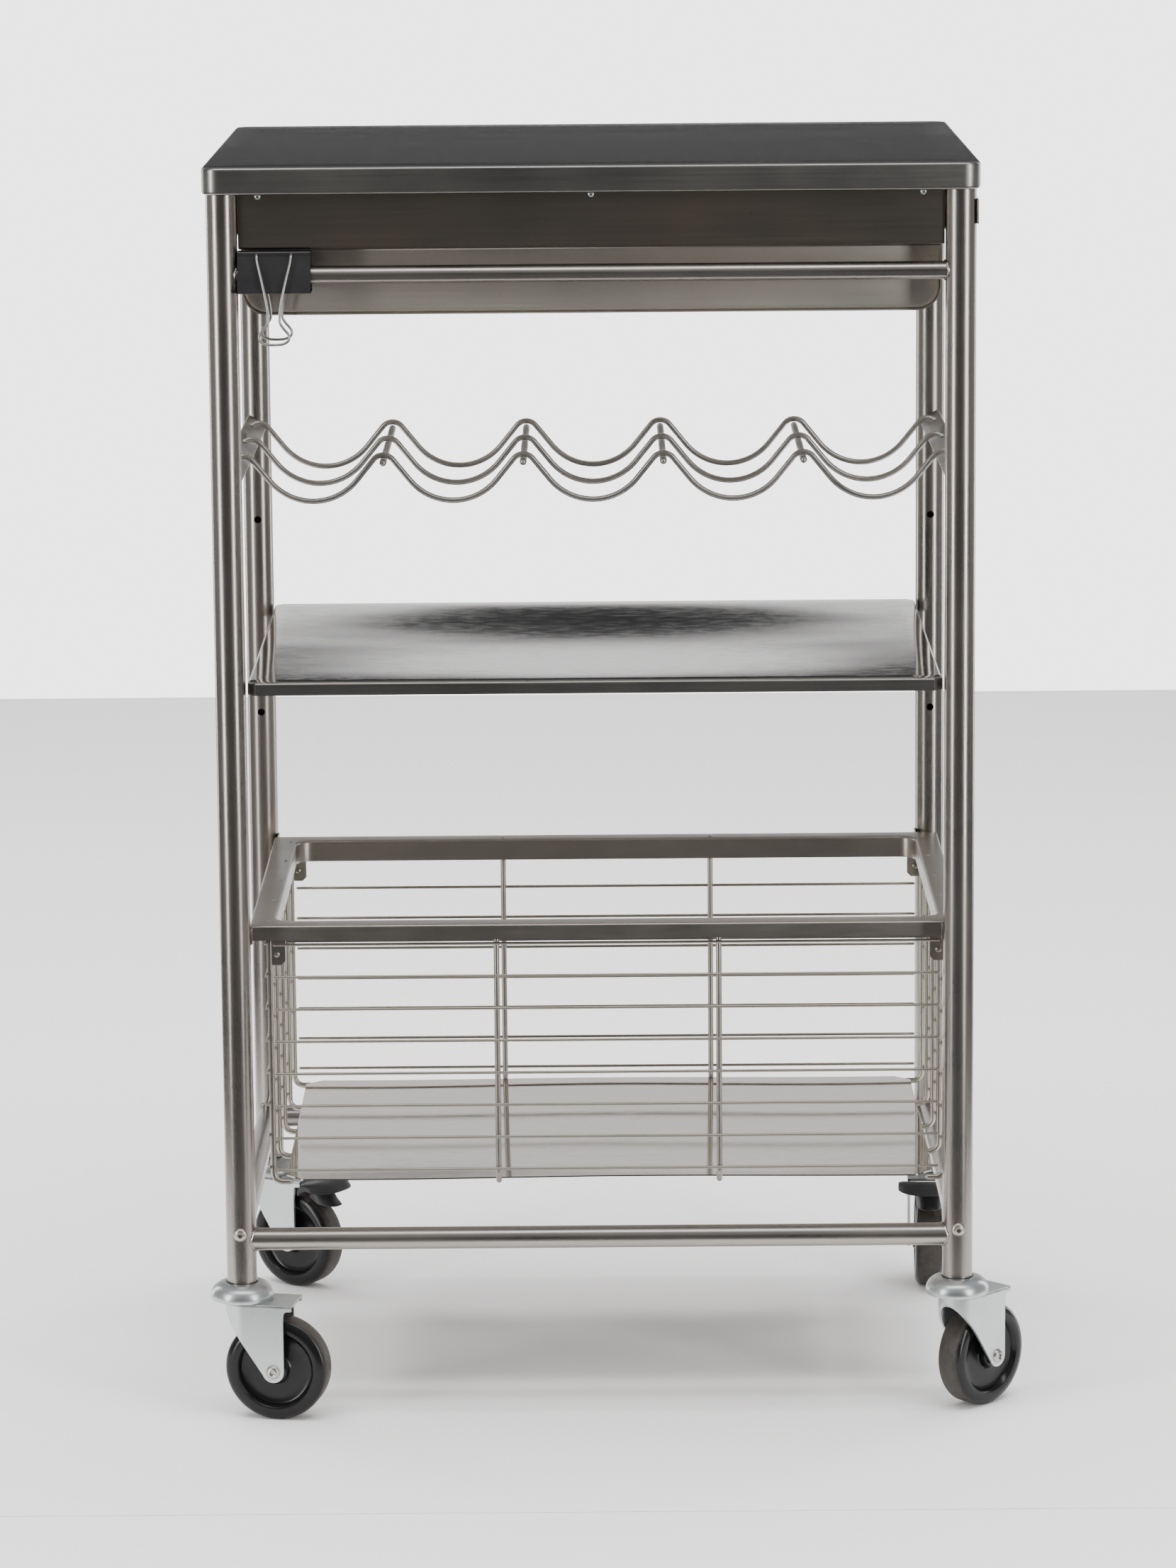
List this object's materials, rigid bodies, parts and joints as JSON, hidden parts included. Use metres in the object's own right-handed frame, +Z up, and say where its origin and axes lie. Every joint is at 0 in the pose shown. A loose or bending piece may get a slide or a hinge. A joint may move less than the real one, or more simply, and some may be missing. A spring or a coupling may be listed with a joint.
{
  "type": "kitchen island cart",
  "caption": "Stainless steel kitchen trolley with worktop, drawer, wavy bottle rack, shelf, wire basket and swivel casters with brakes.",
  "frame": {"origin": "on the floor, in the middle between the four posts", "axes": "+Z up, +X to the right seen from the towel rail side, the towel rail faces -Y and the drawer opens towards +Y"},
  "size_m": [0.5856, 0.4151, 0.9],
  "materials": {
    "brushed_steel": "fine lengthwise brushing on tubes and folded strips",
    "worktop_steel": "brushed along the length, faint wipe marks",
    "polished_steel": "bright, nearly mirror-polished sheet",
    "nickel_wire": "satin nickel-plated wire",
    "zinc": "zinc-plated pressed steel",
    "wheel_rubber": "black rubber with a dusty tread",
    "pedal_plastic": "moulded black plastic",
    "clip_lacquer": "black lacquered spring steel"
  },
  "bodies": {
    "frame": {"worktop": "worktop_steel", "post_front_left": "brushed_steel", "post_front_right": "brushed_steel", "post_back_left": "brushed_steel", "post_back_right": "brushed_steel", "apron_front": "brushed_steel", "apron_left": "brushed_steel", "apron_right": "brushed_steel", "towel_rail": "brushed_steel", "lower_rail_front": "brushed_steel", "lower_rail_back": "brushed_steel", "side_tube_left": "brushed_steel", "side_tube_right": "brushed_steel", "shelf": "polished_steel", "rack_wire_front": "nickel_wire", "rack_wire_middle": "nickel_wire", "rack_wire_back": "nickel_wire", "rack_rod_1": "nickel_wire", "rack_rod_2": "nickel_wire", "rack_rod_3": "nickel_wire", "rack_rod_4": "nickel_wire", "rack_end_bar_left": "brushed_steel", "rack_end_bar_right": "brushed_steel", "basket_rail_left": "brushed_steel", "basket_rail_right": "brushed_steel", "drawer_runner_left": "brushed_steel", "drawer_runner_right": "brushed_steel", "caster_cup_front_left": "zinc", "caster_cup_front_right": "zinc", "caster_cup_back_left": "zinc", "caster_cup_back_right": "zinc"},
    "basket": {"basket_rim": "brushed_steel", "basket_wall_front": "nickel_wire", "basket_wall_back": "nickel_wire", "basket_wall_left": "nickel_wire", "basket_wall_right": "nickel_wire", "basket_floor_rods": "nickel_wire"},
    "basket_sheet": {"basket_sheet": "polished_steel"},
    "drawer": {"drawer_tray": "brushed_steel", "drawer_front": "brushed_steel", "drawer_handle": "brushed_steel"},
    "caster_front_left": {"caster_fork_front_left": "zinc", "caster_axle_front_left": "zinc"},
    "wheel_front_left": {"caster_wheel_front_left": "wheel_rubber"},
    "caster_front_right": {"caster_fork_front_right": "zinc", "caster_axle_front_right": "zinc"},
    "wheel_front_right": {"caster_wheel_front_right": "wheel_rubber"},
    "caster_back_left": {"caster_fork_back_left": "zinc", "caster_axle_back_left": "zinc"},
    "wheel_back_left": {"caster_wheel_back_left": "wheel_rubber"},
    "pedal_back_left": {"brake_pedal_back_left": "pedal_plastic"},
    "caster_back_right": {"caster_fork_back_right": "zinc", "caster_axle_back_right": "zinc"},
    "wheel_back_right": {"caster_wheel_back_right": "wheel_rubber"},
    "pedal_back_right": {"brake_pedal_back_right": "pedal_plastic"},
    "clip": {"clip_body": "clip_lacquer"},
    "clip_front_handle": {"clip_handle_front": "nickel_wire"},
    "clip_back_handle": {"clip_handle_back": "nickel_wire"}
  },
  "joints": [
    {"name": "basket_lift", "type": "slide", "parent": "frame", "child": "basket", "axis": [0, 0, 1], "range_m": [0, 0.15]},
    {"name": "basket_sheet_lift", "type": "slide", "parent": "basket", "child": "basket_sheet", "axis": [0, 0, 1], "range_m": [0, 0.14]},
    {"name": "drawer_slide", "type": "slide", "parent": "frame", "child": "drawer", "axis": [0, 1, 0], "range_m": [0, 0.26]},
    {"name": "swivel_front_left", "type": "hinge", "parent": "frame", "child": "caster_front_left", "pos_m": [-0.2572, -0.184, 0.086], "axis": [0, 0, 1], "continuous": true},
    {"name": "roll_front_left", "type": "hinge", "parent": "caster_front_left", "child": "wheel_front_left", "pos_m": [-0.23172, -0.18918, 0.0375], "axis": [0.1994, 0.9799, 0], "continuous": true},
    {"name": "swivel_front_right", "type": "hinge", "parent": "frame", "child": "caster_front_right", "pos_m": [0.2572, -0.184, 0.086], "axis": [0, 0, 1], "continuous": true},
    {"name": "roll_front_right", "type": "hinge", "parent": "caster_front_right", "child": "wheel_front_right", "pos_m": [0.27529, -0.16533, 0.0375], "axis": [-0.7181, 0.6959, 0], "continuous": true},
    {"name": "swivel_back_left", "type": "hinge", "parent": "frame", "child": "caster_back_left", "pos_m": [-0.2572, 0.184, 0.086], "axis": [0, 0, 1], "continuous": true},
    {"name": "roll_back_left", "type": "hinge", "parent": "caster_back_left", "child": "wheel_back_left", "pos_m": [-0.23549, 0.16969, 0.0375], "axis": [0.5505, 0.8348, 0], "continuous": true},
    {"name": "brake_back_left", "type": "hinge", "parent": "caster_back_left", "child": "pedal_back_left", "pos_m": [-0.22163, 0.16055, 0.079], "axis": [0.5505, 0.8348, 0], "range_deg": [0, 12]},
    {"name": "swivel_back_right", "type": "hinge", "parent": "frame", "child": "caster_back_right", "pos_m": [0.2572, 0.184, 0.086], "axis": [0, 0, 1], "continuous": true},
    {"name": "roll_back_right", "type": "hinge", "parent": "caster_back_right", "child": "wheel_back_right", "pos_m": [0.25629, 0.15802, 0.0375], "axis": [0.9994, -0.0349, 0], "continuous": true},
    {"name": "brake_back_right", "type": "hinge", "parent": "caster_back_right", "child": "pedal_back_right", "pos_m": [0.25571, 0.14143, 0.079], "axis": [0.9994, -0.0349, 0], "range_deg": [0, 12]},
    {"name": "clip_slide", "type": "slide", "parent": "frame", "child": "clip", "axis": [1, 0, 0], "range_m": [0, 0.43]},
    {"name": "clip_front_handle_swing", "type": "hinge", "parent": "clip", "child": "clip_front_handle", "pos_m": [-0.2209, -0.187, 0.8386], "axis": [-1, 0, 0], "range_deg": [0, 65]},
    {"name": "clip_back_handle_swing", "type": "hinge", "parent": "clip", "child": "clip_back_handle", "pos_m": [-0.2209, -0.181, 0.8386], "axis": [1, 0, 0], "range_deg": [0, 4]}
  ]
}
